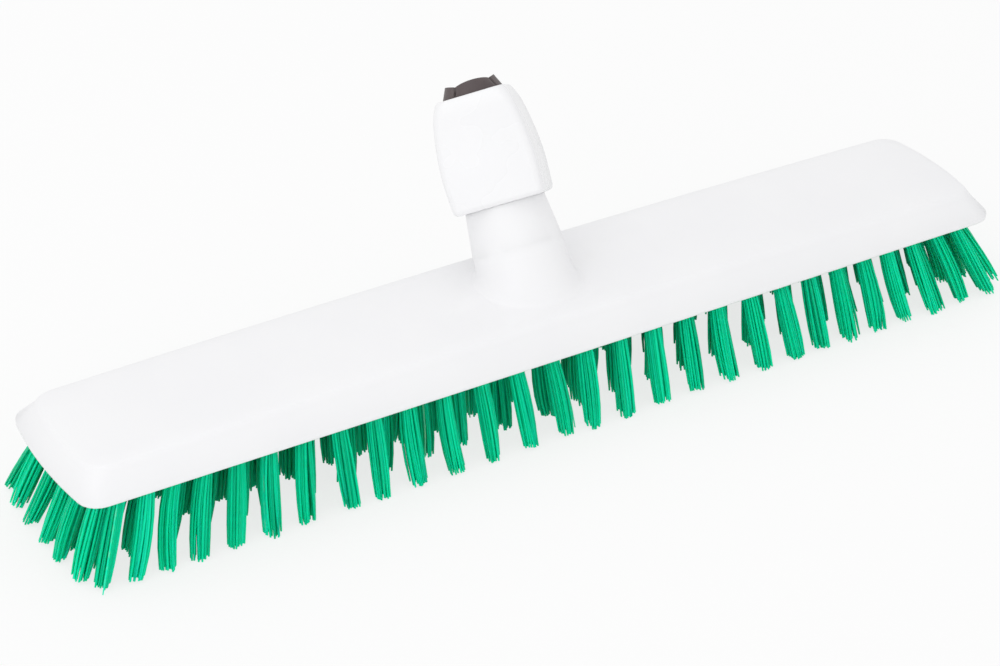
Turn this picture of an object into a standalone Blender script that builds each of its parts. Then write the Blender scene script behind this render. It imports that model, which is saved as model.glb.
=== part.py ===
"""Floor scrub brush head: a moulded bar with a leaning handle socket, a screw clamp and green tufts.

Metres, +Z up. The brush stands on its bristle ends at z = 0, the bar runs along X, and the
socket leans back towards +Y.
"""
import math

import bmesh
import bpy
from mathutils import Vector

# Bar
BAR_LENGTH = 0.450
BAR_WIDTH = 0.078
END_BOW = 0.0035
CORNER_RADIUS = 0.0092
RIM_HEIGHT = 0.0372
LIP_HEIGHT = 0.0022
DECK_HEIGHT = 0.0496
DECK_CROWN = 0.0008
DECK_CAMBER = 0.0026
SIDE_INSET = 0.0090
END_INSET = 0.0080
DECK_EDGE_RADIUS = 0.0030
RIM_WALL = 0.0040
RECESS_DEPTH = 0.0034
SIDE_STATIONS = 8

# Socket neck, measured along its own leaning axis from the deck
NECK_LEAN = math.radians(33.3)
NECK_FOOT_RADIUS = 0.0250
NECK_ROOT_RADIUS = 0.0198
NECK_TOP_RADIUS = 0.0176
NECK_FOOT_AT = 0.0034
NECK_BEND_END = 0.0190
SHOULDER_AT = 0.0386
SPIGOT_RADIUS = 0.0148
SPIGOT_END = 0.0660
SOCKET_RADIUS = 0.0113
SOCKET_FLOOR_AT = 0.0040
SOCKET_CONE_LENGTH = 0.0100
SOCKET_MOUTH_RADIUS = 0.0138

# Screw thread between the neck and the collar
THREAD_PITCH = 0.0040
THREAD_TURNS = 3.0
THREAD_START_AT = 0.0450
THREAD_DEPTH = 0.0015
THREAD_BASE = 0.0023
THREAD_CREST = 0.0013
THREAD_ROOT_SINK = 0.0006
THREAD_STEPS = 28
THREAD_CLOCKING = math.radians(3.0)

# Clamp collar
COLLAR_BOTTOM_AT = 0.0375
COLLAR_HEIGHT = 0.0485
COLLAR_WIDTH = 0.0411
COLLAR_BARREL = 0.0086
COLLAR_BARREL_LENGTH = 0.0360
COLLAR_BEVEL = 0.0026
COLLAR_BEVEL_LENGTH = 0.0080
COLLAR_SKIRT_TAPER = 0.0012
COLLAR_SKIRT_LENGTH = 0.0150
COLLAR_EDGE_RADIUS = 0.0024
COLLAR_CORNER = 0.0030
COLLAR_TOP_CORNER = 0.0050
COLLAR_MOUTH_CHAMFER = 0.0003
COLLAR_TURNED = math.radians(-34.2)
COLLAR_SKIRT_GAP = 0.0005
COLLAR_SKIRT_BORE = NECK_TOP_RADIUS + COLLAR_SKIRT_GAP
COLLAR_SKIRT_DEPTH = 0.0045
COLLAR_CEILING_AT = 0.0672
COLLAR_CONE_LENGTH = 0.0030

# Grip sleeve
SLEEVE_BOTTOM_AT = 0.0585
SLEEVE_RADIUS = 0.0132
SLEEVE_BORE = 0.01125
SLEEVE_BEAD_AT = 0.0750
SLEEVE_BEAD_HEIGHT = 0.0030
SLEEVE_BEAD = 0.0013
SLEEVE_NOSE_LENGTH = 0.0052
SLEEVE_NOSE_RADIUS = 0.0108
SLEEVE_NOSE_WALL = 0.0014
SLEEVE_PROUD = 0.0004
SLEEVE_CROWN = 0.0012
SLIT_COUNT = 4
SLIT_WIDTH = 0.0014
SLIT_BOTTOM_AT = 0.0700
SLIT_TURNED = math.radians(-63.3)

# Tufts
COLUMN_COUNT = 28
ROW_COUNT = 6
ROW_MARGIN = 0.0095
OUTER_COLUMN_MARGIN = 0.0208
END_COLUMN_MARGIN = 0.0170
ROW_PITCH = (BAR_WIDTH - 2 * ROW_MARGIN) / (ROW_COUNT - 1)
OUTER_COLUMN_X = BAR_LENGTH / 2 - OUTER_COLUMN_MARGIN
END_COLUMN_X = BAR_LENGTH / 2 - END_COLUMN_MARGIN
COLUMN_CLOSING = 0.0625 * BAR_LENGTH
SECOND_ROW_DRIFT_MM = (0.0, -4.0, -7.0, -5.5, -6.0, -6.4, -7.8, -8.0, -7.0, -5.6, -4.8, -4.2, -1.2, 3.0,
                       5.1, 5.4, 6.1, 6.8, 8.4, 9.2, 9.8, 9.6, 8.6, 8.5, 8.3, 7.0, 3.0, -1.2)
THIRD_ROW_DRIFT_MM = (1.0, 3.0, 4.2, 6.2, 5.7, 6.6, 4.8, 7.6, 4.8, 9.4, 6.5, -1.5, -5.3, -3.2,
                      7.4, 0.0, -0.5, 0.0, 0.3, 1.0, 2.0, 2.4, 1.4, 1.0, 0.0, 1.0, 0.0, 0.0)
SLICE_MARGIN = 0.0030
SPLAY_START = 0.34
END_SPLAY = 0.44
END_TUFT_SPLAY = 0.04
SPLAY_POWER = 1.6
SIDE_SPLAY = 0.31
SIDE_SPLAY_POWER = 1.4
SLICE_THICKNESS = 0.0028
STRAND_ROOT_WIDTH = 0.0017
STRAND_TIP_WIDTH = 0.0024
TUFT_ROOT_SPREAD = 0.0016
TUFT_TIP_SPREAD = 0.0023
OUTER_STRAND_COUNT = 3
INNER_STRAND_COUNT = 2

# Fits
SEAT_GAP = 0.0003
RUNNING_GAP = 0.00035
ROUND_STEPS = 36
CORNER_STEPS = 5
FOOT_STEPS = 6

WHITE = (0.90, 0.90, 0.91, 1.0)
UMBER = (0.16, 0.13, 0.12, 1.0)
GREEN = (0.0, 0.42, 0.23, 1.0)


def clear_scene():
    for thing in list(bpy.data.objects):
        bpy.data.objects.remove(thing, do_unlink=True)


def new_collection(name):
    group = bpy.data.collections.new(name)
    bpy.context.scene.collection.children.link(group)
    return group


def new_material(name, color, roughness, metallic=0.0):
    material = bpy.data.materials.new(name)
    material.use_nodes = True
    shader = material.node_tree.nodes["Principled BSDF"]
    shader.inputs["Base Color"].default_value = color
    shader.inputs["Roughness"].default_value = roughness
    shader.inputs["Metallic"].default_value = metallic
    material.diffuse_color = color
    return material


def add_object(name, mesh, group, material=None, parent=None):
    thing = bpy.data.objects.new(name, mesh)
    group.objects.link(thing)
    if material:
        mesh.materials.append(material)
    if parent:
        thing.parent = parent
    return thing


def as_cutter(thing):
    thing.hide_render = True
    thing.display_type = "WIRE"
    return thing


def mesh_from(bm, name):
    bmesh.ops.recalc_face_normals(bm, faces=bm.faces)
    mesh = bpy.data.meshes.new(name)
    bm.to_mesh(mesh)
    bm.free()
    return mesh


def loft(name, rings, joined=False, domed=False):
    """A skin over rings of equally many points: capped at both ends, or joined end to end.

    A domed top is closed by cross strips between the last ring's two mirrored sides."""
    bm = bmesh.new()
    rows = [[bm.verts.new(point) for point in ring] for ring in rings]
    pairs = list(zip(rows, rows[1:]))
    if joined:
        pairs.append((rows[-1], rows[0]))
    for lower, upper in pairs:
        for i in range(len(lower)):
            k = (i + 1) % len(lower)
            bm.faces.new((lower[i], lower[k], upper[k], upper[i]))
    last = rows[-1]
    count = len(last)
    if not joined:
        bm.faces.new(rows[0])
    if domed:
        bm.faces.new((last[0], last[1], last[-1]))
        for i in range(1, count // 2 - 1):
            bm.faces.new((last[i], last[i + 1], last[count - i - 1], last[count - i]))
        bm.faces.new((last[count // 2 - 1], last[count // 2], last[count // 2 + 1]))
    elif not joined:
        bm.faces.new(last)
    return mesh_from(bm, name)


def turned(name, profile, group, parent=None, steps=ROUND_STEPS, material=None):
    """A solid of revolution about local Z; the profile of (radius, height) runs top to bottom."""
    mesh = bpy.data.meshes.new(name)
    points = [(radius, 0.0, height) for radius, height in profile]
    mesh.from_pydata(points, [(i, i + 1) for i in range(len(points) - 1)], [])
    thing = add_object(name, mesh, group, material, parent)
    screw = thing.modifiers.new("turn", "SCREW")
    screw.steps = steps
    screw.render_steps = steps
    screw.use_merge_vertices = True
    screw.merge_threshold = 0.00001
    return thing


def helix_ridge(name, radius, outward, start, turns):
    """A thread ridge spun round Z: its foot is sunk in the wall at radius, its crest points outward."""
    foot = radius - outward * THREAD_ROOT_SINK
    crest = radius + outward * THREAD_DEPTH
    bm = bmesh.new()
    section = [(foot, -THREAD_BASE / 2), (crest, -THREAD_CREST / 2), (crest, THREAD_CREST / 2),
               (foot, THREAD_BASE / 2)]
    facing = (math.cos(THREAD_CLOCKING), math.sin(THREAD_CLOCKING))
    verts = [bm.verts.new((r * facing[0], r * facing[1], start + z)) for r, z in section]
    face = bm.faces.new(verts)
    steps = round(THREAD_STEPS * turns)
    bmesh.ops.spin(bm, geom=[face] + list(face.edges) + verts, cent=(0, 0, 0), axis=(0, 0, 1),
                   dvec=(0, 0, THREAD_PITCH * turns / steps), angle=2 * math.pi * turns, steps=steps)
    return mesh_from(bm, name)


def cut(target, tool, operation="DIFFERENCE"):
    boolean = target.modifiers.new(tool.name, "BOOLEAN")
    boolean.operation = operation
    boolean.solver = "EXACT"
    boolean.object = tool


def shade_round(thing, angle=35.0):
    thing.data.shade_smooth()
    thing.data.set_sharp_from_angle(angle=math.radians(angle))


# Outlines

def bar_outline(inset_side, inset_end, height):
    """The bar's plan: straight sides, bowed ends, rounded corners, pulled in by the two insets."""
    half_length = BAR_LENGTH / 2 - inset_end
    half_width = BAR_WIDTH / 2 - inset_side
    radius = min(CORNER_RADIUS, half_width / 2)
    bow_radius = (END_BOW ** 2 + half_width ** 2) / (2 * END_BOW)
    bow_centre = half_length - bow_radius
    corner_y = half_width - radius
    corner_x = bow_centre + math.sqrt((bow_radius - radius) ** 2 - corner_y ** 2)
    meet = math.atan2(corner_y, corner_x - bow_centre)
    end = [(bow_centre + bow_radius * math.cos(meet * k / CORNER_STEPS),
            bow_radius * math.sin(meet * k / CORNER_STEPS)) for k in range(CORNER_STEPS)]
    for k in range(CORNER_STEPS + 1):
        angle = meet + (math.pi / 2 - meet) * k / CORNER_STEPS
        end.append((corner_x + radius * math.cos(angle), corner_y + radius * math.sin(angle)))
    quarter = end + [(corner_x * (1 - k / SIDE_STATIONS), half_width) for k in range(1, SIDE_STATIONS + 1)]
    upper = quarter + [(-x, y) for x, y in reversed(quarter[:-1])]
    lower = [(x, -y) for x, y in reversed(upper[1:-1])]
    rise = max(0.0, height - RIM_HEIGHT - LIP_HEIGHT) / (DECK_HEIGHT - RIM_HEIGHT - LIP_HEIGHT)
    camber = DECK_CAMBER * min(rise, 1.0)
    return [Vector((x, y + BAR_Y, height + camber * (1 - (2 * x / BAR_LENGTH) ** 2))) for x, y in upper + lower]


def rounded_square(width, corner, height):
    points = []
    reach = width / 2 - corner
    for quarter in range(4):
        start = math.pi / 2 * quarter
        centre_x = reach * (1 if quarter in (0, 3) else -1)
        centre_y = reach * (1 if quarter in (0, 1) else -1)
        for k in range(CORNER_STEPS + 1):
            angle = start + math.pi / 2 * k / CORNER_STEPS
            points.append(Vector((centre_x + corner * math.cos(angle),
                                  centre_y + corner * math.sin(angle), height)))
    return points


def collar_width(from_top):
    """The collar's width across its flats: a barrel that closes in at the top and at the skirt."""
    barrel = COLLAR_BARREL * max(0.0, 1.0 - from_top / COLLAR_BARREL_LENGTH) ** 2
    bevel = COLLAR_BEVEL * max(0.0, 1.0 - from_top / COLLAR_BEVEL_LENGTH) ** 2
    skirt = max(0.0, from_top - (COLLAR_HEIGHT - COLLAR_SKIRT_LENGTH)) / COLLAR_SKIRT_LENGTH
    return COLLAR_WIDTH - barrel - bevel - COLLAR_SKIRT_TAPER * skirt


def collar_corner(from_top):
    """The radius of the collar's upright edges, which soften towards the top."""
    return COLLAR_CORNER + (COLLAR_TOP_CORNER - COLLAR_CORNER) * max(0.0, 1.0 - from_top / COLLAR_BARREL_LENGTH) ** 2


# Tuft layout

def column_x(column):
    """Root position of a column: evenly spaced in the middle, closing up towards the ends."""
    u = 2.0 * column / (COLUMN_COUNT - 1) - 1.0
    return (OUTER_COLUMN_X + COLUMN_CLOSING) * u - COLUMN_CLOSING * u ** 3


def row_y(row):
    return (row - (ROW_COUNT - 1) / 2) * ROW_PITCH


def row_drift(column, row):
    """How far a tuft stands aside from the outer rows' tufts, inside its column's slice.

    A row behind the bar's middle is its front partner's pattern turned half round."""
    if row in (0, ROW_COUNT - 1):
        return 0.0
    behind = row >= ROW_COUNT / 2
    drifts = SECOND_ROW_DRIFT_MM if row in (1, ROW_COUNT - 2) else THIRD_ROW_DRIFT_MM
    drift = 0.001 * (-drifts[COLUMN_COUNT - 1 - column] if behind else drifts[column])
    here = column_x(column)
    if column > 0:
        drift = max(drift, (column_x(column - 1) - here) / 2 + SLICE_MARGIN)
    if column < COLUMN_COUNT - 1:
        drift = min(drift, (column_x(column + 1) - here) / 2 - SLICE_MARGIN)
    return drift


def splay(x, y):
    """Slope of a tuft outwards along X and along Y, as run over drop."""
    reach = max(0.0, abs(x) / END_COLUMN_X - SPLAY_START) / (1 - SPLAY_START)
    outer_y = row_y(ROW_COUNT - 1)
    along = END_SPLAY * reach ** SPLAY_POWER
    if abs(x) >= END_COLUMN_X:
        along += END_TUFT_SPLAY
    along = math.copysign(along, x)
    across = math.copysign(SIDE_SPLAY * (abs(y) / outer_y) ** SIDE_SPLAY_POWER, y)
    return along, across


def column_tufts(column):
    tufts = []
    for row in range(ROW_COUNT):
        outer = row in (0, ROW_COUNT - 1)
        x = column_x(column) + row_drift(column, row)
        tufts.append((x, row_y(row), OUTER_STRAND_COUNT if outer else INNER_STRAND_COUNT))
    return tufts


def end_tufts(side):
    return [(side * END_COLUMN_X, row_y(row) + ROW_PITCH / 2, OUTER_STRAND_COUNT) for row in range(ROW_COUNT - 1)]


def reach_of_tufts():
    """How far the front row's bristle ends stand in front of the bar's middle."""
    front = row_y(0)
    drop = SLICE_BOTTOM + SLICE_THICKNESS / 2
    return -(front + splay(0.0, front)[1] * drop) + TUFT_TIP_SPREAD + STRAND_TIP_WIDTH / 2


def reach_of_collar():
    """How far the turned collar stands behind the bar's middle."""
    best = 0.0
    samples = 40
    spread = abs(math.cos(COLLAR_TURNED)) + abs(math.sin(COLLAR_TURNED))
    for i in range(samples + 1):
        from_top = COLLAR_HEIGHT * i / samples
        corner = collar_corner(from_top)
        half = (collar_width(from_top) / 2 - corner) * spread + corner
        along = COLLAR_BOTTOM_AT + COLLAR_HEIGHT - from_top
        best = max(best, along * math.sin(NECK_LEAN) + half * math.cos(NECK_LEAN))
    return best


RECESS_CEILING = RIM_HEIGHT + RECESS_DEPTH
SLICE_BOTTOM = RECESS_CEILING - SEAT_GAP - SLICE_THICKNESS
BAR_Y = (reach_of_tufts() - reach_of_collar()) / 2


# Bar with its socket

def bar_mesh():
    """Rings from the recess ceiling, round the rim, up the sides and over the crowned deck."""
    facet = SIDE_INSET - DECK_EDGE_RADIUS
    end_facet = END_INSET * facet / SIDE_INSET
    rise = DECK_HEIGHT - RIM_HEIGHT - LIP_HEIGHT
    rings = [bar_outline(RIM_WALL, RIM_WALL, RECESS_CEILING),
             bar_outline(RIM_WALL, RIM_WALL, RIM_HEIGHT),
             bar_outline(0.0004, 0.0004, RIM_HEIGHT),
             bar_outline(0.0, 0.0, RIM_HEIGHT + 0.0004),
             bar_outline(0.0, 0.0, RIM_HEIGHT + LIP_HEIGHT)]
    shoulder_steps = 4
    for k in range(shoulder_steps + 1):
        share = k / shoulder_steps
        inset = facet + (SIDE_INSET - facet) * share
        lift = rise * facet / SIDE_INSET + (rise - rise * facet / SIDE_INSET) * math.sin(share * math.pi / 2)
        rings.append(bar_outline(inset, end_facet + (END_INSET - end_facet) * share,
                                 RIM_HEIGHT + LIP_HEIGHT + lift))
    crown_steps = 4
    for k in range(1, crown_steps + 1):
        share = k / (crown_steps + 1)
        inset = SIDE_INSET + (BAR_WIDTH / 2 - SIDE_INSET - 0.004) * share
        rings.append(bar_outline(inset, END_INSET + (inset - SIDE_INSET),
                                 DECK_HEIGHT + DECK_CROWN * (1 - (1 - share) ** 2)))
    return loft("moulded_bar", rings, domed=True)


def foot_rings():
    """Upright foot ring on the deck, bending over into the leaning neck."""
    lean = Vector((0, math.sin(NECK_LEAN), math.cos(NECK_LEAN)))
    root = Vector((0, BAR_Y, DECK_HEIGHT))
    levels = [(NECK_FOOT_AT - 0.0025, NECK_FOOT_RADIUS)]
    fillet = NECK_FOOT_RADIUS - NECK_ROOT_RADIUS
    length = NECK_BEND_END - NECK_FOOT_AT
    for k in range(FOOT_STEPS + 1):
        share = k / FOOT_STEPS
        levels.append((NECK_FOOT_AT + length * share ** 1.4, NECK_ROOT_RADIUS + fillet * (1 - share) ** 3))
    rings = []
    for along, radius in levels:
        bend = NECK_LEAN * min(max((along - NECK_FOOT_AT) / length, 0.0), 1.0)
        back = Vector((0, math.cos(bend), -math.sin(bend)))
        centre = root + lean * along
        rings.append([centre + Vector((radius * math.cos(a), 0, 0)) + back * radius * math.sin(a)
                      for a in (2 * math.pi * k / ROUND_STEPS for k in range(ROUND_STEPS))])
    return rings


def socket_bore(name, tools, axis):
    """The handle's bore with its flat floor and its conical seat for the grip sleeve."""
    top = SPIGOT_END + 0.001
    slope = (SOCKET_MOUTH_RADIUS - SOCKET_RADIUS) / SOCKET_CONE_LENGTH
    return as_cutter(turned(name, [
        (0.0, top), (SOCKET_MOUTH_RADIUS + slope * 0.001, top),
        (SOCKET_RADIUS, SPIGOT_END - SOCKET_CONE_LENGTH), (SOCKET_RADIUS, SOCKET_FLOOR_AT),
        (0.0, SOCKET_FLOOR_AT)], tools, axis))


def make_bar(group, tools, axis, white):
    """The bar with the neck's foot, down to the handle's rest."""
    bar = add_object("socket_bar", bar_mesh(), group, white)
    foot = as_cutter(add_object("neck_foot_form", loft("neck_foot_form", foot_rings()), tools))
    cut(bar, foot, "UNION")
    cut(bar, socket_bore("foot_bore", tools, axis))
    shade_round(bar)
    return bar


def make_neck(group, tools, axis, white):
    """The leaning neck above its foot: a tapered tube, then the threaded spigot."""
    taper = NECK_ROOT_RADIUS - NECK_TOP_RADIUS
    neck = turned("handle_neck", [
        (0.0, SPIGOT_END), (SPIGOT_RADIUS - 0.0004, SPIGOT_END), (SPIGOT_RADIUS, SPIGOT_END - 0.0005),
        (SPIGOT_RADIUS, SHOULDER_AT + 0.0003), (NECK_TOP_RADIUS - 0.0002, SHOULDER_AT),
        (NECK_TOP_RADIUS, COLLAR_BOTTOM_AT - 0.0006),
        (NECK_TOP_RADIUS + taper / 2, (NECK_BEND_END + COLLAR_BOTTOM_AT) / 2),
        (NECK_ROOT_RADIUS, NECK_BEND_END + SEAT_GAP), (0.0, NECK_BEND_END + SEAT_GAP)],
        group, axis, ROUND_STEPS, white)
    thread = as_cutter(add_object("neck_thread_form", helix_ridge("neck_thread", SPIGOT_RADIUS, 1,
                                                                  THREAD_START_AT, THREAD_TURNS), tools, None, axis))
    cut(neck, thread, "UNION")
    cut(neck, socket_bore("neck_bore", tools, axis))
    shade_round(neck)
    return neck


# Clamp collar

def make_collar(group, tools, axis, white):
    edge_steps = 4
    rings = []
    for k in range(edge_steps):
        angle = math.pi / 2 * k / edge_steps
        width = collar_width(COLLAR_HEIGHT - COLLAR_EDGE_RADIUS) - 2 * COLLAR_EDGE_RADIUS * (1 - math.sin(angle))
        rings.append(rounded_square(width, COLLAR_CORNER, COLLAR_EDGE_RADIUS * (1 - math.cos(angle))))
    side_steps = 11
    for k in range(side_steps):
        from_top = (COLLAR_HEIGHT - COLLAR_EDGE_RADIUS) * (1 - k / side_steps) ** 1.35
        rings.append(rounded_square(collar_width(from_top), collar_corner(from_top), COLLAR_HEIGHT - from_top))
    rings.append(rounded_square(collar_width(0.0005), collar_corner(0.0005), COLLAR_HEIGHT - 0.0005))
    rings.append(rounded_square(collar_width(0.0) - 0.0008, COLLAR_TOP_CORNER - 0.0004, COLLAR_HEIGHT))
    collar = add_object("clamp_collar", loft("clamp_collar", rings), group, white, axis)
    collar.location = (0, 0, COLLAR_BOTTOM_AT)
    collar.rotation_euler = (0, 0, COLLAR_TURNED)

    over = 0.001
    thread_bore = SPIGOT_RADIUS + THREAD_DEPTH + RUNNING_GAP
    mouth = SLEEVE_RADIUS + RUNNING_GAP
    bead = SLEEVE_RADIUS + SLEEVE_BEAD + RUNNING_GAP
    bead_top = SLEEVE_BEAD_AT + SLEEVE_BEAD_HEIGHT / 2 + RUNNING_GAP - COLLAR_BOTTOM_AT
    bead_bottom = SLEEVE_BEAD_AT - SLEEVE_BEAD_HEIGHT / 2 - RUNNING_GAP - COLLAR_BOTTOM_AT
    ceiling = COLLAR_CEILING_AT - COLLAR_BOTTOM_AT
    inside = as_cutter(turned("collar_inside", [
        (0.0, COLLAR_HEIGHT + over), (mouth + COLLAR_MOUTH_CHAMFER + over, COLLAR_HEIGHT + over),
        (mouth, COLLAR_HEIGHT - COLLAR_MOUTH_CHAMFER),
        (mouth, bead_top + SLEEVE_BEAD), (bead, bead_top), (bead, bead_bottom), (mouth, bead_bottom - SLEEVE_BEAD),
        (mouth, ceiling + COLLAR_CONE_LENGTH), (thread_bore, ceiling), (thread_bore, COLLAR_SKIRT_DEPTH),
        (COLLAR_SKIRT_BORE, COLLAR_SKIRT_DEPTH - 0.0007), (COLLAR_SKIRT_BORE, -over), (0.0, -over)], tools, axis))
    inside.location = (0, 0, COLLAR_BOTTOM_AT)
    ridge_start = THREAD_START_AT + THREAD_PITCH / 2
    ridge = as_cutter(add_object("collar_thread_form", helix_ridge("collar_thread", thread_bore, -1,
                                                                   ridge_start, THREAD_TURNS - 1), tools, None, axis))
    cut(collar, inside)
    cut(collar, ridge, "UNION")
    shade_round(collar)
    return collar


# Grip sleeve

def make_sleeve(group, tools, axis, umber):
    """A split wedge sleeve: cone below, captured bead in the middle, closing nose above."""
    mouth_at = COLLAR_BOTTOM_AT + COLLAR_HEIGHT + SLEEVE_PROUD
    top_at = mouth_at + SLEEVE_NOSE_LENGTH
    cone_slope = (SOCKET_MOUTH_RADIUS - SOCKET_RADIUS) / SOCKET_CONE_LENGTH
    cone_top_at = SPIGOT_END
    lower_radius = SLEEVE_RADIUS - cone_slope * (cone_top_at - SLEEVE_BOTTOM_AT)
    profile = [(SLEEVE_NOSE_RADIUS, top_at), (SLEEVE_RADIUS, mouth_at),
               (SLEEVE_RADIUS, SLEEVE_BEAD_AT + SLEEVE_BEAD_HEIGHT / 2 + SLEEVE_BEAD),
               (SLEEVE_RADIUS + SLEEVE_BEAD, SLEEVE_BEAD_AT + SLEEVE_BEAD_HEIGHT / 2),
               (SLEEVE_RADIUS + SLEEVE_BEAD, SLEEVE_BEAD_AT - SLEEVE_BEAD_HEIGHT / 2),
               (SLEEVE_RADIUS, SLEEVE_BEAD_AT - SLEEVE_BEAD_HEIGHT / 2 - SLEEVE_BEAD),
               (SLEEVE_RADIUS, cone_top_at), (lower_radius, SLEEVE_BOTTOM_AT),
               (SLEEVE_BORE, SLEEVE_BOTTOM_AT), (SLEEVE_BORE, mouth_at - 0.0015),
               (SLEEVE_NOSE_RADIUS - SLEEVE_NOSE_WALL, top_at - 0.0006)]
    steps = 2 * ROUND_STEPS
    rings = []
    for k in range(steps):
        angle = 2 * math.pi * k / steps
        finger = 2 * math.pi / SLIT_COUNT
        across = ((angle - SLIT_TURNED + math.pi / 2) % finger) / finger * 2 - 1
        lift = SLEEVE_CROWN * (1 - across ** 2)
        ring = []
        for radius, height in profile:
            nose = max(0.0, (height - mouth_at) / SLEEVE_NOSE_LENGTH)
            ring.append(Vector((radius * math.cos(angle), radius * math.sin(angle),
                                height + (lift - SLEEVE_CROWN) * nose)))
        rings.append(ring)
    sleeve = add_object("grip_sleeve", loft("grip_sleeve", rings, joined=True), group, umber, axis)
    depth = top_at - SLIT_BOTTOM_AT + 0.002
    for k in range(SLIT_COUNT // 2):
        bpy.ops.mesh.primitive_cube_add(size=1.0)
        slit = as_cutter(bpy.context.object)
        slit.name = "slit_form_%d" % (k + 1)
        for owner in list(slit.users_collection):
            owner.objects.unlink(slit)
        tools.objects.link(slit)
        slit.parent = axis
        slit.scale = (4 * SLEEVE_RADIUS, SLIT_WIDTH, depth)
        slit.location = (0, 0, SLIT_BOTTOM_AT + depth / 2)
        slit.rotation_euler = (0, 0, SLIT_TURNED - math.pi / 2 + math.pi / 2 * k)
        cut(sleeve, slit)
    shade_round(sleeve)
    return sleeve


# Bristles

def strand(bm, root, tip, turn):
    """One four-sided strand from inside its slice down to a flat end on the floor."""
    made = bmesh.ops.create_cube(bm, size=1.0)
    for vert in made["verts"]:
        upper = vert.co.z > 0
        width = STRAND_ROOT_WIDTH if upper else STRAND_TIP_WIDTH
        centre = root if upper else tip
        x = vert.co.x * width
        y = vert.co.y * width
        vert.co = centre + Vector((x * math.cos(turn) - y * math.sin(turn),
                                   x * math.sin(turn) + y * math.cos(turn), 0))


def tuft(bm, x, y, count):
    drop = SLICE_BOTTOM + SLICE_THICKNESS / 2
    along, across = splay(x, y)
    for k in range(count):
        angle = 2 * math.pi * (k + 0.25) / count + 90.0 * x / BAR_LENGTH + 15.6 * y / BAR_WIDTH
        root = Vector((x + TUFT_ROOT_SPREAD * math.cos(angle), BAR_Y + y + TUFT_ROOT_SPREAD * math.sin(angle), drop))
        tip = Vector((x + along * drop + TUFT_TIP_SPREAD * math.cos(angle),
                      BAR_Y + y + across * drop + TUFT_TIP_SPREAD * math.sin(angle), 0.0))
        strand(bm, root, tip, angle)


def slice_mesh(name, low, high):
    """A slice of the backing between two cross lines, cut to the recess's own outline."""
    seat = RIM_WALL + SEAT_GAP
    outline = bar_outline(seat, seat, 0.0)
    half_width = BAR_WIDTH / 2 - seat
    inside = [(p.x, p.y) for p in outline if low + 0.0005 < p.x < high - 0.0005]
    front, back = BAR_Y - half_width, BAR_Y + half_width
    if max(abs(low), abs(high)) < BAR_LENGTH / 2:
        points = [(low, front), (high, front), (high, back), (low, back)]
    elif high > BAR_LENGTH / 2:
        right = sorted(inside, key=lambda p: math.atan2(p[1] - BAR_Y, p[0] - low))
        points = [(low, front)] + right + [(low, back)]
    else:
        left = sorted(inside, key=lambda p: math.atan2(p[1] - BAR_Y, high - p[0]), reverse=True)
        points = [(high, back)] + left + [(high, front)]
    rings = [[Vector((x, y, z)) for x, y in points] for z in (SLICE_BOTTOM, SLICE_BOTTOM + SLICE_THICKNESS)]
    return loft(name, rings)


def make_tufts(group, tools, green):
    """One node for each column, with its slice; the two last columns also hold the end tufts."""
    lines = [(column_x(c) + column_x(c + 1)) / 2 for c in range(COLUMN_COUNT - 1)]
    lines = [-BAR_LENGTH] + lines + [BAR_LENGTH]
    made = []
    for column in range(COLUMN_COUNT):
        tufts = column_tufts(column)
        low = lines[column] + SEAT_GAP / 2
        high = lines[column + 1] - SEAT_GAP / 2
        name = "tuft_column_%02d" % (column + 1)
        if column == 0:
            tufts += end_tufts(-1)
        if column == COLUMN_COUNT - 1:
            tufts += end_tufts(1)
        body = add_object(name, slice_mesh(name, low, high), group, green)
        bm = bmesh.new()
        for x, y, count in tufts:
            tuft(bm, x, y, count)
        strands = as_cutter(add_object(name + "_strands", mesh_from(bm, name + "_strands"), tools))
        cut(body, strands, "UNION")
        made.append(body)
    return made


def main():
    clear_scene()
    group = new_collection("floor_scrub_brush")
    tools = new_collection("cutters")
    white = new_material("white_moulding", WHITE, 0.35)
    umber = new_material("umber_sleeve", UMBER, 0.5)
    green = new_material("green_bristle", GREEN, 0.4)
    axis = bpy.data.objects.new("neck_axis", None)
    group.objects.link(axis)
    axis.location = (0, BAR_Y, DECK_HEIGHT)
    axis.rotation_euler = (-NECK_LEAN, 0, 0)
    make_bar(group, tools, axis, white)
    make_neck(group, tools, axis, white)
    make_sleeve(group, tools, axis, umber)
    make_collar(group, tools, axis, white)
    make_tufts(group, tools, green)


main()
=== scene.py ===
"""Looks of the floor scrub brush head: white mouldings, a dark split sleeve and full green tufts."""
import math
import random

import bpy
from mathutils import Matrix, Vector


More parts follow.
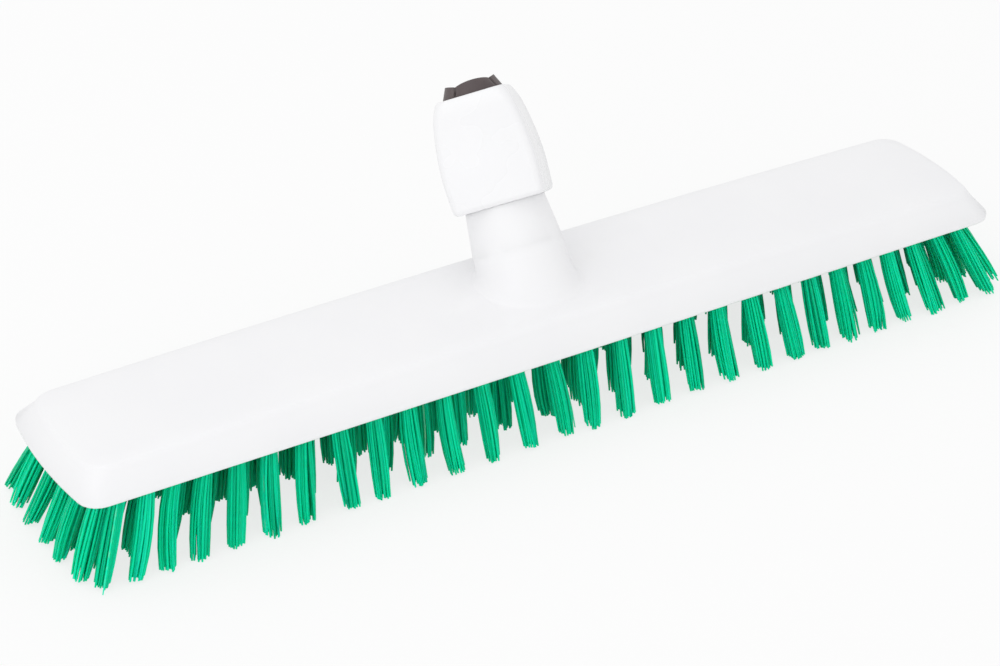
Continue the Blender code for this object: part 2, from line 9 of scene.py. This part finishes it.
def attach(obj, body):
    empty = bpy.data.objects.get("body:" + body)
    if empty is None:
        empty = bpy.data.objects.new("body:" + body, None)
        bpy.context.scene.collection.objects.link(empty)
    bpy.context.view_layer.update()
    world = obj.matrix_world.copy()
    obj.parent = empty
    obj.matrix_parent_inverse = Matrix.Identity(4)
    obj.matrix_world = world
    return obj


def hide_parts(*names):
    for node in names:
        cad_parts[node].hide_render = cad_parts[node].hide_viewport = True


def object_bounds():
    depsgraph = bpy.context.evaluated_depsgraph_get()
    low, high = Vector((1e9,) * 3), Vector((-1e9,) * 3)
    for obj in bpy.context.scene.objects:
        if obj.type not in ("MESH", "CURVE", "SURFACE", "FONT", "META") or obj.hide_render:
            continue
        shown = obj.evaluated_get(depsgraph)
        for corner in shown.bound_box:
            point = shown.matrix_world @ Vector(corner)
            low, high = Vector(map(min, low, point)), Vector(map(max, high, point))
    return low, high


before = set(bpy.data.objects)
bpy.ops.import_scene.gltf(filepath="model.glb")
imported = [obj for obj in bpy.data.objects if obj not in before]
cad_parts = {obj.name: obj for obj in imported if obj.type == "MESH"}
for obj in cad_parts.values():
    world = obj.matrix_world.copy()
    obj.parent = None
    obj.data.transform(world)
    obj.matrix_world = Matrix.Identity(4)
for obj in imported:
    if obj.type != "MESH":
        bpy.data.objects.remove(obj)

CAD_LOW, CAD_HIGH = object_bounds()
MM = 0.001

# Bar, in metres
BAR_LENGTH = 0.450
BAR_WIDTH = 0.078
BAR_Y = -0.0090342
DECK_HEIGHT = 0.0496
RIM_HEIGHT = 0.0372
RECESS_DEPTH = 0.0034
BACKING_HEIGHT = 0.0375
BACKING_THICKNESS = 0.0028
NECK_LEAN = math.radians(33.3)
NECK_SEAM_AT = 0.0190
NECK_SEAM_GAP = 0.0003
NECK_SEAM_WELD = 1.5 * NECK_SEAM_GAP
NECK_SEAM_FACING = 0.9
CEILING_TOLERANCE = 0.0001
CEILING_EDGE = 0.002
CREASE = math.radians(35.0)
WELD = 0.00001

# Layout of the tufts, in metres
COLUMN_COUNT = 28
ROW_COUNT = 6
ROW_MARGIN = 0.0095
ROW_PITCH = (BAR_WIDTH - 2 * ROW_MARGIN) / (ROW_COUNT - 1)
COLUMN_MARGIN = 0.0208
OUTER_COLUMN_X = BAR_LENGTH / 2 - COLUMN_MARGIN
END_COLUMN_MARGIN = 0.0170
END_COLUMN_X = BAR_LENGTH / 2 - END_COLUMN_MARGIN
COLUMN_CLOSING = BAR_LENGTH / 16
HOLE_RADIUS = 0.0033
HOLE_SIDES = 24
HOLE_DEPTH = 0.0016

# How far aside the holes of the second and third rows stand, column by column
SECOND_ROW_DRIFT_MM = (0.0, -4.0, -7.0, -5.5, -6.0, -6.4, -7.8, -8.0, -7.0, -5.6, -4.8, -4.2, -1.2, 3.0,
                       5.1, 5.4, 6.1, 6.8, 8.4, 9.2, 9.8, 9.6, 8.6, 8.5, 8.3, 7.0, 3.0, -1.2)
THIRD_ROW_DRIFT_MM = (1.0, 3.0, 4.2, 6.2, 5.7, 6.6, 4.8, 7.6, 4.8, 9.4, 6.5, -1.5, -5.3, -3.2,
                      7.4, 0.0, -0.5, 0.0, 0.3, 1.0, 2.0, 2.4, 1.4, 1.0, 0.0, 1.0, 0.0, 0.0)

# How far the tufts' ends lean: the front row sideways, column by column, and the third row back
FRONT_LEANS_MM = (1.3, 0.9, 0.4, -0.9, -0.7, -0.6, -1.6, 1.5, -1.3, -1.1, 0.2, 1.0, 2.3, 2.8,
                  -0.9, -1.4, -0.7, 0.6, 1.7, 2.0, 2.0, -0.6, -1.1, -2.6, -2.4, -2.0, -0.3, 1.0)
THIRD_ROW_LEAN_MM = -1.6
TUFT_LEAN_SIDEWAYS = 0.0007
TUFT_LEAN_BACK = 0.0006

# Tufts of the two end columns that lean in their own way: sideways, back and up, by their number
LEFT_END_LEANS_MM = {0: (1.3, 3.0, 0.0), 5: (-3.4, 2.4, 0.0), 6: (1.8, 2.4, 0.0), 7: (0.0, 1.5, 0.0),
                     8: (0.6, 0.5, 0.0), 9: (0.0, 1.4, 0.0), 10: (0.6, -2.0, 0.0)}
RIGHT_END_LEANS_MM = {6: (0.9, -3.6, 3.5)}

# Splay of the tufts towards the ends and the long sides, as metres aside for each metre down
SPLAY_START = 0.34
SPLAY_POWER = 1.6
END_SPLAY = 0.44
END_TUFT_SPLAY = 0.04
SIDE_SPLAY = 0.31
SIDE_SPLAY_POWER = 1.4
TUFT_DROP = BACKING_HEIGHT + BACKING_THICKNESS / 2

# One bristle
BRISTLE_RADIUS = 0.00059
BRISTLE_SIDES = 5
BRISTLE_STEPS = 5
BRISTLE_TAPER = 0.72
BRISTLE_CREASE = math.radians(75.0)

# The bundle of bristles in a hole
BRISTLES_PER_TUFT = 33
BUNDLE_ROOT_RADIUS = 0.00270
BUNDLE_TIP_RADIUS = 0.0036
BUNDLE_END_SPREAD = 0.0005
BUNDLE_BELLY = 0.00060
END_TUFT_BELLY = 0.0010
ROOT_COVER = 0.0001
GOLDEN_ANGLE = 2.39996
TURN_ALONG = 300.0
TURN_ACROSS = 170.0
BOX_MARGIN = 0.0005

# How uneven the bristles are: as a tuft, in the locks that it falls into, and one by one
TUFT_REACH = (-0.10, 0.14)
TUFT_TRIM = 0.0008
TUFT_BOW = 0.0006
LOCK_COUNT = 5
LOCK_SHIFT = 0.0004
LOCK_TRIM = 0.0012
LOCK_TONE = 0.17
OWN_SHIFT = 0.0003
OWN_BOW = 0.0002
OWN_TONE = 0.10
LONGEST_TRIM = 0.0014
TRIM_POWER = 2.6
MIDDLE_TONE = 0.43
DARKEST_TONE = 0.05
PALEST_TONE = 0.86
STRAY_SHARE = 0.12
STRAY_GIRTH = 0.65
STRAY_REACH = (0.0008, 0.0022)
STRAY_TONE = (0.84, 0.96)
FIRST_SEED = 1207

# Camera
CAMERA_AZIMUTH = math.radians(-30.65)
CAMERA_ELEVATION = math.radians(32.39)
CAMERA_TARGET = Vector((0.0, BAR_Y, 0.0371))
CAMERA_DISTANCE = 1.2023
CAMERA_LENS = 100.8
CAMERA_SENSOR = 36.0
CAMERA_REACH = (0.01, 20.0)
CAMERA_SLIDE = (-0.01253, -0.00877)

# Studio
AMBIENT_STRENGTH = 0.86
FLOOR_SIZE = 12.0
FLOOR_GREY = 0.90
FLOOR_GLOW = 0.23
FLOOR_GLOW_SEEN = 0.54

# Finishes
WHITE_LOW = (0.885, 0.885, 0.900, 1.0)
WHITE_HIGH = (0.905, 0.905, 0.915, 1.0)
UMBER_LOW = (0.075, 0.056, 0.058, 1.0)
UMBER_HIGH = (0.110, 0.086, 0.086, 1.0)
CLOUD_LOW = 0.15
CLOUD_HIGH = 0.85
GRAIN_STRENGTH = 0.35
DEEP_GREEN = (0.0, 0.40, 0.19, 1.0)
CLEAR_GREEN = (0.0, 0.68, 0.345, 1.0)
BRIGHT_GREEN = (0.005, 0.86, 0.48, 1.0)
PALE_GREEN = (0.30, 0.76, 0.46, 1.0)
CLEAR_AT = 0.45
BRIGHT_AT = 0.85
DRAWN_SCALE = 260.0
DRAWN_TONE = 0.22


def deselect_all():
    if bpy.context.object and bpy.context.object.mode != "OBJECT":
        bpy.ops.object.mode_set(mode="OBJECT")
    bpy.ops.object.select_all(action="DESELECT")


def pick(thing):
    """Makes one object the only selected one and the active one."""
    deselect_all()
    thing.select_set(True)
    bpy.context.view_layer.objects.active = thing


def join(pieces):
    """Joins the pieces into the first of them, which it returns."""
    deselect_all()
    for piece in pieces:
        piece.select_set(True)
    bpy.context.view_layer.objects.active = pieces[0]
    bpy.ops.object.join()
    return bpy.context.object


# Camera, light and floor

def set_camera():
    """The photo's long lens, above the brush's front left."""
    a, e = CAMERA_AZIMUTH, CAMERA_ELEVATION
    right = Vector((math.cos(a), math.sin(a), 0.0))
    up = Vector((-math.sin(e) * math.sin(a), math.sin(e) * math.cos(a), math.cos(e)))
    back = Vector((math.sin(a) * math.cos(e), -math.cos(a) * math.cos(e), math.sin(e)))
    place = CAMERA_TARGET + back * CAMERA_DISTANCE + right * CAMERA_SLIDE[0] + up * CAMERA_SLIDE[1]
    lens = bpy.data.cameras.new("photo_camera")
    lens.sensor_width = CAMERA_SENSOR
    lens.lens = CAMERA_LENS
    lens.clip_start, lens.clip_end = CAMERA_REACH
    camera = bpy.data.objects.new("photo_camera", lens)
    bpy.context.scene.collection.objects.link(camera)
    turn = Matrix((right, up, back)).transposed().to_4x4()
    camera.matrix_world = Matrix.Translation(place) @ turn
    bpy.context.scene.camera = camera


def soft_box(name, place, aim, width, height, power):
    """A flat rectangular studio lamp that faces a point."""
    lamp = bpy.data.lights.new(name, "AREA")
    lamp.shape = "RECTANGLE"
    lamp.size = width
    lamp.size_y = height
    lamp.energy = power
    thing = bpy.data.objects.new(name, lamp)
    bpy.context.scene.collection.objects.link(thing)
    thing.location = place
    thing.rotation_euler = (Vector(aim) - Vector(place)).to_track_quat("-Z", "Y").to_euler()


def set_light():
    """An even white room, which the camera sees as pure white, and three soft lamps."""
    world = bpy.data.worlds.new("studio")
    bpy.context.scene.world = world
    world.use_nodes = True
    nodes = world.node_tree.nodes
    links = world.node_tree.links
    nodes.clear()
    ambient = nodes.new("ShaderNodeBackground")
    ambient.inputs["Color"].default_value = (1.0, 1.0, 1.0, 1.0)
    ambient.inputs["Strength"].default_value = AMBIENT_STRENGTH
    seen = nodes.new("ShaderNodeBackground")
    seen.inputs["Color"].default_value = (1.0, 1.0, 1.0, 1.0)
    seen.inputs["Strength"].default_value = 1.0
    path = nodes.new("ShaderNodeLightPath")
    mix = nodes.new("ShaderNodeMixShader")
    out = nodes.new("ShaderNodeOutputWorld")
    links.new(path.outputs["Is Camera Ray"], mix.inputs["Fac"])
    links.new(ambient.outputs["Background"], mix.inputs[1])
    links.new(seen.outputs["Background"], mix.inputs[2])
    links.new(mix.outputs["Shader"], out.inputs["Surface"])
    soft_box("top_box", place=(-0.25, 0.25, 1.25), aim=(0.0, 0.0, 0.0),
             width=1.2, height=0.9, power=2.4)
    soft_box("left_box", place=(-1.25, -0.75, 0.75), aim=(-0.05, 0.0, 0.03),
             width=0.9, height=0.7, power=1.4)
    soft_box("front_box", place=(-0.55, -1.2, 0.24), aim=(0.0, 0.0, 0.02),
             width=1.4, height=0.4, power=1.7)


def make_floor():
    """A pale matt floor that glows a little, and more to the camera, so that its shadow stays light."""
    bpy.ops.mesh.primitive_plane_add(size=FLOOR_SIZE, location=(0.0, 0.0, 0.0))
    floor = bpy.context.object
    floor.name = "studio_floor"
    material = bpy.data.materials.new("pale_floor")
    material.use_nodes = True
    nodes = material.node_tree.nodes
    links = material.node_tree.links
    nodes.clear()
    matt = nodes.new("ShaderNodeBsdfDiffuse")
    matt.inputs["Color"].default_value = (FLOOR_GREY, FLOOR_GREY, FLOOR_GREY, 1.0)
    glow = nodes.new("ShaderNodeEmission")
    glow.inputs["Color"].default_value = (1.0, 1.0, 1.0, 1.0)
    glow.inputs["Strength"].default_value = 1.0
    path = nodes.new("ShaderNodeLightPath")
    share = nodes.new("ShaderNodeMath")
    share.operation = "MULTIPLY_ADD"
    share.inputs[1].default_value = FLOOR_GLOW_SEEN
    share.inputs[2].default_value = FLOOR_GLOW
    mix = nodes.new("ShaderNodeMixShader")
    out = nodes.new("ShaderNodeOutputMaterial")
    links.new(path.outputs["Is Camera Ray"], share.inputs[0])
    links.new(share.outputs["Value"], mix.inputs["Fac"])
    links.new(matt.outputs["BSDF"], mix.inputs[1])
    links.new(glow.outputs["Emission"], mix.inputs[2])
    links.new(mix.outputs["Shader"], out.inputs["Surface"])
    floor.data.materials.append(material)


# Finishes

def moulded_grain_group():
    """Fine moulded grain: a height for the surface and a slow cloudiness of its tone, from object place."""
    group = bpy.data.node_groups.new("moulded_grain", "ShaderNodeTree")
    face = group.interface
    face.new_socket("Grain Scale", in_out="INPUT", socket_type="NodeSocketFloat")
    face.new_socket("Cloud Scale", in_out="INPUT", socket_type="NodeSocketFloat")
    face.new_socket("Height", in_out="OUTPUT", socket_type="NodeSocketFloat")
    face.new_socket("Cloud", in_out="OUTPUT", socket_type="NodeSocketFloat")
    nodes = group.nodes
    links = group.links
    given = nodes.new("NodeGroupInput")
    result = nodes.new("NodeGroupOutput")
    place = nodes.new("ShaderNodeTexCoord")
    fine = nodes.new("ShaderNodeTexNoise")
    fine.inputs["Detail"].default_value = 3.0
    fine.inputs["Roughness"].default_value = 0.6
    slow = nodes.new("ShaderNodeTexNoise")
    slow.inputs["Detail"].default_value = 2.0
    links.new(place.outputs["Object"], fine.inputs["Vector"])
    links.new(place.outputs["Object"], slow.inputs["Vector"])
    links.new(given.outputs["Grain Scale"], fine.inputs["Scale"])
    links.new(given.outputs["Cloud Scale"], slow.inputs["Scale"])
    links.new(fine.outputs["Fac"], result.inputs["Height"])
    links.new(slow.outputs["Fac"], result.inputs["Cloud"])
    return group


def moulded_plastic(name, grain, dark, pale, smooth, rough, grain_scale, cloud_scale, bump):
    """A moulded plastic whose tone and gloss drift slowly and whose skin has a fine grain."""
    material = bpy.data.materials.new(name)
    material.use_nodes = True
    nodes = material.node_tree.nodes
    links = material.node_tree.links
    shader = nodes["Principled BSDF"]
    texture = nodes.new("ShaderNodeGroup")
    texture.node_tree = grain
    texture.inputs["Grain Scale"].default_value = grain_scale
    texture.inputs["Cloud Scale"].default_value = cloud_scale
    tone = nodes.new("ShaderNodeValToRGB")
    tone.color_ramp.interpolation = "EASE"
    tone.color_ramp.elements[0].position = CLOUD_LOW
    tone.color_ramp.elements[0].color = dark
    tone.color_ramp.elements[1].position = CLOUD_HIGH
    tone.color_ramp.elements[1].color = pale
    gloss = nodes.new("ShaderNodeMapRange")
    gloss.interpolation_type = "SMOOTHSTEP"
    gloss.inputs["From Min"].default_value = CLOUD_LOW
    gloss.inputs["From Max"].default_value = CLOUD_HIGH
    gloss.inputs["To Min"].default_value = smooth
    gloss.inputs["To Max"].default_value = rough
    relief = nodes.new("ShaderNodeBump")
    relief.inputs["Strength"].default_value = GRAIN_STRENGTH
    relief.inputs["Distance"].default_value = bump
    links.new(texture.outputs["Cloud"], tone.inputs["Fac"])
    links.new(texture.outputs["Cloud"], gloss.inputs["Value"])
    links.new(texture.outputs["Height"], relief.inputs["Height"])
    links.new(tone.outputs["Color"], shader.inputs["Base Color"])
    links.new(gloss.outputs["Result"], shader.inputs["Roughness"])
    links.new(relief.outputs["Normal"], shader.inputs["Normal"])
    return material


def bristle_plastic():
    """Drawn green plastic: each bristle has its own tone, which varies a little along it."""
    material = bpy.data.materials.new("drawn_green_bristle")
    material.use_nodes = True
    nodes = material.node_tree.nodes
    links = material.node_tree.links
    shader = nodes["Principled BSDF"]
    own = nodes.new("ShaderNodeAttribute")
    own.attribute_name = "bristle_tone"
    place = nodes.new("ShaderNodeTexCoord")
    drawn = nodes.new("ShaderNodeTexNoise")
    drawn.inputs["Scale"].default_value = DRAWN_SCALE
    drawn.inputs["Detail"].default_value = 2.0
    blend = nodes.new("ShaderNodeMath")
    blend.operation = "MULTIPLY_ADD"
    blend.inputs[1].default_value = DRAWN_TONE
    centred = nodes.new("ShaderNodeMath")
    centred.operation = "SUBTRACT"
    centred.inputs[1].default_value = DRAWN_TONE / 2
    tone = nodes.new("ShaderNodeValToRGB")
    ramp = tone.color_ramp
    ramp.elements[0].position = 0.0
    ramp.elements[0].color = DEEP_GREEN
    ramp.elements[1].position = 1.0
    ramp.elements[1].color = PALE_GREEN
    clear = ramp.elements.new(CLEAR_AT)
    clear.color = CLEAR_GREEN
    bright = ramp.elements.new(BRIGHT_AT)
    bright.color = BRIGHT_GREEN
    links.new(place.outputs["Object"], drawn.inputs["Vector"])
    links.new(drawn.outputs["Fac"], blend.inputs[0])
    links.new(own.outputs["Fac"], centred.inputs[0])
    links.new(centred.outputs["Value"], blend.inputs[2])
    links.new(blend.outputs["Value"], tone.inputs["Fac"])
    links.new(tone.outputs["Color"], shader.inputs["Base Color"])
    shader.inputs["Roughness"].default_value = 0.34
    shader.inputs["Specular IOR Level"].default_value = 0.22
    shader.inputs["Specular Tint"].default_value = (0.25, 1.0, 0.80, 1.0)
    shader.inputs["Subsurface Weight"].default_value = 0.5
    shader.inputs["Subsurface Radius"].default_value = (0.4, 1.0, 0.8)
    shader.inputs["Subsurface Scale"].default_value = 0.0012
    return material


# Bar, collar and sleeve

def smooth_copy(node, name):
    """A copy of a node's solid with its corners joined, so that light runs smoothly over it."""
    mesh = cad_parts[node].data.copy()
    mesh.name = name
    mesh.materials.clear()
    piece = bpy.data.objects.new(name, mesh)
    bpy.context.scene.collection.objects.link(piece)
    pick(piece)
    bpy.ops.object.mode_set(mode="EDIT")
    bpy.ops.mesh.select_all(action="SELECT")
    bpy.ops.mesh.remove_doubles(threshold=WELD)
    bpy.ops.object.mode_set(mode="OBJECT")
    bpy.ops.object.shade_smooth_by_angle(angle=CREASE)
    return piece


def choose(elements, kind, test):
    """Selects, in edit mode, just the vertices or faces (the kind, VERT or FACE) that pass the test."""
    bpy.ops.mesh.select_mode(type=kind)
    bpy.ops.mesh.select_all(action="DESELECT")
    bpy.ops.object.mode_set(mode="OBJECT")
    for element in elements():
        element.select = test(element)
    bpy.ops.object.mode_set(mode="EDIT")


def drill_bits():
    """One piece with a short cylinder in the place of each tuft's hole."""
    bits = []
    for column in range(COLUMN_COUNT):
        for x, y in tuft_places(column):
            deselect_all()
            bpy.ops.mesh.primitive_cylinder_add(vertices=HOLE_SIDES, radius=HOLE_RADIUS,
                                                depth=2 * HOLE_DEPTH,
                                                location=(x, BAR_Y + y, BACKING_HEIGHT))
            bits.append(bpy.context.object)
    drill = join(bits)
    pick(drill)
    bpy.ops.object.transform_apply(location=True, rotation=True, scale=True)
    return drill


def make_bar():
    """Bar and neck as the one moulding they are, with the backing filled in and a hole for each tuft."""
    bar = smooth_copy("socket_bar", "bar_moulding")
    neck = smooth_copy("handle_neck", "neck_moulding")
    join([bar, neck])
    mesh = bar.data
    foot = Vector((0.0, BAR_Y, DECK_HEIGHT))
    lean = Vector((0.0, math.sin(NECK_LEAN), math.cos(NECK_LEAN)))
    seam = NECK_SEAM_AT + NECK_SEAM_GAP / 2
    ceiling = RIM_HEIGHT + RECESS_DEPTH

    def at_seam(vertex):
        return abs((vertex.co - foot).dot(lean) - seam) < NECK_SEAM_GAP

    def in_seam(face):
        facing = abs(face.normal.dot(lean)) > NECK_SEAM_FACING
        return facing and all(at_seam(mesh.vertices[k]) for k in face.vertices)

    def at_ceiling(vertex):
        high_enough = abs(vertex.co.z - ceiling) < CEILING_TOLERANCE
        return high_enough and abs(vertex.co.y - BAR_Y) < BAR_WIDTH / 2 - CEILING_EDGE

    bpy.ops.object.mode_set(mode="EDIT")
    choose(lambda: mesh.polygons, "FACE", in_seam)
    bpy.ops.mesh.delete(type="ONLY_FACE")
    choose(lambda: mesh.vertices, "VERT", at_seam)
    bpy.ops.mesh.remove_doubles(threshold=NECK_SEAM_WELD)
    choose(lambda: mesh.vertices, "VERT", at_ceiling)
    bpy.ops.transform.translate(value=(0.0, 0.0, BACKING_HEIGHT - RIM_HEIGHT - RECESS_DEPTH))
    bpy.ops.object.mode_set(mode="OBJECT")

    drill = drill_bits()
    pick(bar)
    holes = bar.modifiers.new("tuft_holes", "BOOLEAN")
    holes.operation = "DIFFERENCE"
    holes.solver = "EXACT"
    holes.object = drill
    bpy.ops.object.modifier_apply(modifier="tuft_holes")
    bpy.data.objects.remove(drill, do_unlink=True)
    pick(bar)
    bpy.ops.object.shade_smooth_by_angle(angle=CREASE)
    return bar


# Tufts

def column_x(column):
    """Place of a column along the bar; the columns close up towards its ends."""
    u = 2.0 * column / (COLUMN_COUNT - 1) - 1.0
    return (OUTER_COLUMN_X + COLUMN_CLOSING) * u - COLUMN_CLOSING * u ** 3


def row_y(row):
    return (row - (ROW_COUNT - 1) / 2) * ROW_PITCH


def tuft_places(column):
    """The holes of one cross row, front to back; the two end rows also have the staggered end tufts."""
    opposite = COLUMN_COUNT - 1 - column
    drifts = (0.0, SECOND_ROW_DRIFT_MM[column], THIRD_ROW_DRIFT_MM[column],
              -THIRD_ROW_DRIFT_MM[opposite], -SECOND_ROW_DRIFT_MM[opposite], 0.0)
    places = [(column_x(column) + MM * drifts[row], row_y(row)) for row in range(ROW_COUNT)]
    if column in (0, COLUMN_COUNT - 1):
        side = -1.0 if column == 0 else 1.0
        places += [(side * END_COLUMN_X, row_y(row) + ROW_PITCH / 2) for row in range(ROW_COUNT - 1)]
    return places


def within(value, low, high):
    return min(max(value, low), high)


def splay(x, y):
    """How far a tuft goes along and across the bar for each metre down."""
    reach = max(0.0, abs(x) / END_COLUMN_X - SPLAY_START) / (1 - SPLAY_START)
    along = END_SPLAY * reach ** SPLAY_POWER
    if abs(x) >= END_COLUMN_X:
        along += END_TUFT_SPLAY
    along = math.copysign(along, x)
    across = math.copysign(SIDE_SPLAY * (abs(y) / row_y(ROW_COUNT - 1)) ** SIDE_SPLAY_POWER, y)
    return along, across


def tuft_lean(column, number, luck):
    """How far the lower end of a tuft leans from its splay: sideways, back and up."""
    sideways, back = luck.gauss(0.0, TUFT_LEAN_SIDEWAYS), luck.gauss(0.0, TUFT_LEAN_BACK)
    if column == 0 and number in LEFT_END_LEANS_MM:
        return MM * Vector(LEFT_END_LEANS_MM[number])
    if column == COLUMN_COUNT - 1 and number in RIGHT_END_LEANS_MM:
        return MM * Vector(RIGHT_END_LEANS_MM[number])
    if number == 0:
        sideways = MM * FRONT_LEANS_MM[column]
    elif number == 2:
        back += MM * THIRD_ROW_LEAN_MM
    return Vector((sideways, back, 0.0))


def model_bristle():
    """One straight bristle, a metre long and of real thickness: a ring drawn out in steps, its end cut."""
    deselect_all()
    bpy.ops.mesh.primitive_circle_add(vertices=BRISTLE_SIDES, radius=BRISTLE_RADIUS, fill_type="NGON")
    bristle = bpy.context.object
    bristle.name = "bristle_pattern"
    bpy.ops.object.mode_set(mode="EDIT")
    bpy.ops.mesh.select_all(action="SELECT")
    for _ in range(BRISTLE_STEPS):
        bpy.ops.mesh.extrude_region_move(TRANSFORM_OT_translate={"value": (0.0, 0.0, -1.0 / BRISTLE_STEPS)})
    bpy.ops.transform.resize(value=(BRISTLE_TAPER, BRISTLE_TAPER, 1.0), center_override=(0.0, 0.0, -1.0))
    bpy.ops.mesh.select_all(action="SELECT")
    bpy.ops.mesh.normals_make_consistent(inside=False)
    bpy.ops.object.mode_set(mode="OBJECT")
    bpy.ops.object.shade_smooth_by_angle(angle=BRISTLE_CREASE)
    return bristle


def shift(luck, size):
    """A random step on the level."""
    return Vector((luck.gauss(0.0, size), luck.gauss(0.0, size), 0.0))


def bristle_paths(x, y, lean, luck):
    """Path (root, end, bow, turn and girth) and tone of each bristle in the tuft that is set at x, y."""
    along, across = splay(x, y)
    reach = 1.0 + luck.uniform(*TUFT_REACH)
    trim = luck.uniform(0.0, TUFT_TRIM)
    locks = [(shift(luck, LOCK_SHIFT), luck.uniform(0.0, LOCK_TRIM), luck.uniform(-LOCK_TONE, LOCK_TONE))
             for _ in range(LOCK_COUNT)]
    bow = shift(luck, TUFT_BOW)
    stray = luck.random() < STRAY_SHARE
    spread = BUNDLE_TIP_RADIUS + BUNDLE_END_SPREAD * (x / END_COLUMN_X) ** 3
    belly = END_TUFT_BELLY if abs(x) >= END_COLUMN_X else BUNDLE_BELLY
    hole = Vector((x, BAR_Y + y, BACKING_HEIGHT + HOLE_DEPTH - ROOT_COVER))
    foot = Vector((x + along * TUFT_DROP, BAR_Y + y + across * TUFT_DROP, 0.0)) + lean
    paths = []
    for k in range(BRISTLES_PER_TUFT):
        share = math.sqrt((k + 0.5) / BRISTLES_PER_TUFT)
        angle = k * GOLDEN_ANGLE + x * TURN_ALONG + y * TURN_ACROSS
        ray = Vector((math.cos(angle), math.sin(angle), 0.0))
        lock = int((angle / (2 * math.pi)) % 1.0 * LOCK_COUNT) % LOCK_COUNT
        lock_shift, lock_trim, lock_tone = locks[lock]
        root = hole + ray * share * BUNDLE_ROOT_RADIUS
        own_shift = shift(luck, OWN_SHIFT)
        end = foot + (ray * share * spread * reach + lock_shift + own_shift)
        own_bow = bow + ray * share * belly + shift(luck, OWN_BOW)
        tone = within(MIDDLE_TONE + lock_tone + luck.gauss(0.0, OWN_TONE), DARKEST_TONE, PALEST_TONE)
        girth = 1.0
        if stray and k == BRISTLES_PER_TUFT - 1:
            end += ray * luck.uniform(*STRAY_REACH)
            tone = luck.uniform(*STRAY_TONE)
            girth = STRAY_GIRTH
        end.x = within(end.x, CAD_LOW.x + BOX_MARGIN, CAD_HIGH.x - BOX_MARGIN)
        end.y = within(end.y, CAD_LOW.y + BOX_MARGIN, CAD_HIGH.y - BOX_MARGIN)
        height = trim + lock_trim + LONGEST_TRIM * luck.random() ** TRIM_POWER
        end = end + (root - end) * (height / root.z)
        turn = luck.uniform(0.0, 2 * math.pi)
        paths.append(((root, end, own_bow, turn, girth), tone))
    return paths


def lay_bristle(mesh, path):
    """Bends a copy of the bristle along its path."""
    root, end, bow, turn, girth = path
    cosine, sine = girth * math.cos(turn), girth * math.sin(turn)
    for vertex in mesh.vertices:
        down = -vertex.co.z
        centre = root + (end - root) * down + bow * (4.0 * down * (1.0 - down))
        x, y = vertex.co.x, vertex.co.y
        vertex.co = centre + Vector((x * cosine - y * sine, x * sine + y * cosine, 0.0))


def make_column(column, bristle):
    """All the bristles of one cross row as one piece, with the tone of each of its vertices."""
    luck = random.Random(FIRST_SEED + column)
    tones = []
    parts = []
    for number, (x, y) in enumerate(tuft_places(column)):
        lean = tuft_lean(column, number, luck)
        for path, tone in bristle_paths(x, y, lean, luck):
            mesh = bristle.data.copy()
            lay_bristle(mesh, path)
            copy = bpy.data.objects.new("bristle", mesh)
            bpy.context.scene.collection.objects.link(copy)
            parts.append(copy)
            tones += [tone] * len(mesh.vertices)
    tufts = join(parts)
    tufts.name = "tufts_%02d" % (column + 1)
    tufts.data.name = tufts.name
    own = tufts.data.attributes.new("bristle_tone", "FLOAT", "POINT")
    own.data.foreach_set("value", tones)
    return tufts


def main():
    bpy.context.scene.view_settings.view_transform = "Standard"
    set_camera()
    set_light()
    make_floor()

    grain = moulded_grain_group()
    white = moulded_plastic("white_moulding", grain, dark=WHITE_LOW, pale=WHITE_HIGH,
                            smooth=0.34, rough=0.44, grain_scale=2600.0, cloud_scale=26.0,
                            bump=0.00003)
    collar_white = moulded_plastic("white_collar_moulding", grain, dark=WHITE_LOW, pale=WHITE_HIGH,
                                   smooth=0.24, rough=0.32, grain_scale=3200.0, cloud_scale=40.0,
                                   bump=0.00002)
    umber = moulded_plastic("umber_sleeve_moulding", grain, dark=UMBER_LOW, pale=UMBER_HIGH,
                            smooth=0.40, rough=0.52, grain_scale=3000.0, cloud_scale=120.0,
                            bump=0.00003)
    green = bristle_plastic()

    bar = make_bar()
    bar.data.materials.append(white)
    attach(bar, "bar")
    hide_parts("socket_bar", "handle_neck")
    collar = smooth_copy("clamp_collar", "collar_moulding")
    collar.data.materials.append(collar_white)
    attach(collar, "collar")
    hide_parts("clamp_collar")
    sleeve = smooth_copy("grip_sleeve", "sleeve_moulding")
    sleeve.data.materials.append(umber)
    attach(sleeve, "sleeve")
    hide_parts("grip_sleeve")

    bristle = model_bristle()
    for column in range(COLUMN_COUNT):
        tufts = make_column(column, bristle)
        tufts.data.materials.append(green)
        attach(tufts, "bar")
        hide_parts("tuft_column_%02d" % (column + 1))
    bpy.data.objects.remove(bristle, do_unlink=True)


main()
